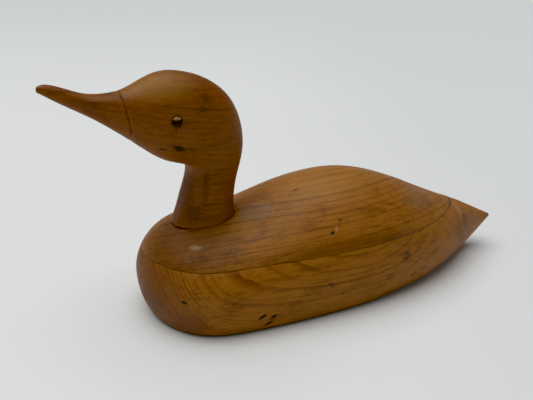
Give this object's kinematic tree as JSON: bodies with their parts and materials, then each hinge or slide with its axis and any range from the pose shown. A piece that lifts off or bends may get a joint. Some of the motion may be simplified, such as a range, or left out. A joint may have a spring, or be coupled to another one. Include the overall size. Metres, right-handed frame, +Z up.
{
  "type": "floating duck decoy",
  "caption": "Carved wooden duck decoy: a hollow body of two glued boards, a head and neck block, glass eyes, inlet ballast and a folding anchor ring.",
  "frame": {"origin": "on the ground under the body, in the middle of the overall length and width", "axes": "-X is the way the bill points, -Y is the duck's left side, +Z is up"},
  "size_m": [0.3774, 0.1298, 0.1807],
  "materials": {
    "upper_board": "satin varnish on warm brown softwood, straight grain",
    "lower_board": "satin varnish on warm brown softwood, wavy grain",
    "head_block": "satin varnish on warm brown softwood, level grain",
    "dowel_wood": "plain birch",
    "steel": "dull plated steel",
    "brass": "tarnished brass",
    "eye_glass": "worn dark brown glass",
    "putty": "dark, cracked putty",
    "lead": "dull grey sheet lead"
  },
  "bodies": {
    "decoy": {"anchor_plate": "brass", "anchor_saddle": "brass", "anchor_screw_front": "brass", "anchor_screw_rear": "brass", "ballast_screw_1": "brass", "ballast_screw_2": "brass", "ballast_screw_3": "brass", "ballast_screw_4": "brass", "ballast_weight": "lead", "body_lower": "lower_board", "body_peg_front": "dowel_wood", "body_peg_left": "dowel_wood", "body_peg_rear": "dowel_wood", "body_peg_right": "dowel_wood", "body_upper": "upper_board", "eye_glass_left": "eye_glass", "eye_glass_right": "eye_glass", "eye_putty_left": "putty", "eye_putty_right": "putty", "eye_wire_left": "steel", "eye_wire_right": "steel", "head_neck": "head_block", "neck_dowel": "dowel_wood", "neck_screw": "steel", "neck_washer": "steel"},
    "ring": {"anchor_ring": "brass"}
  },
  "joints": [
    {"name": "ring_fold", "type": "hinge", "parent": "decoy", "child": "ring", "pos_m": [-0.082, 0, 0.00542], "axis": [0, -1, 0], "range_deg": [0, 130]}
  ]
}
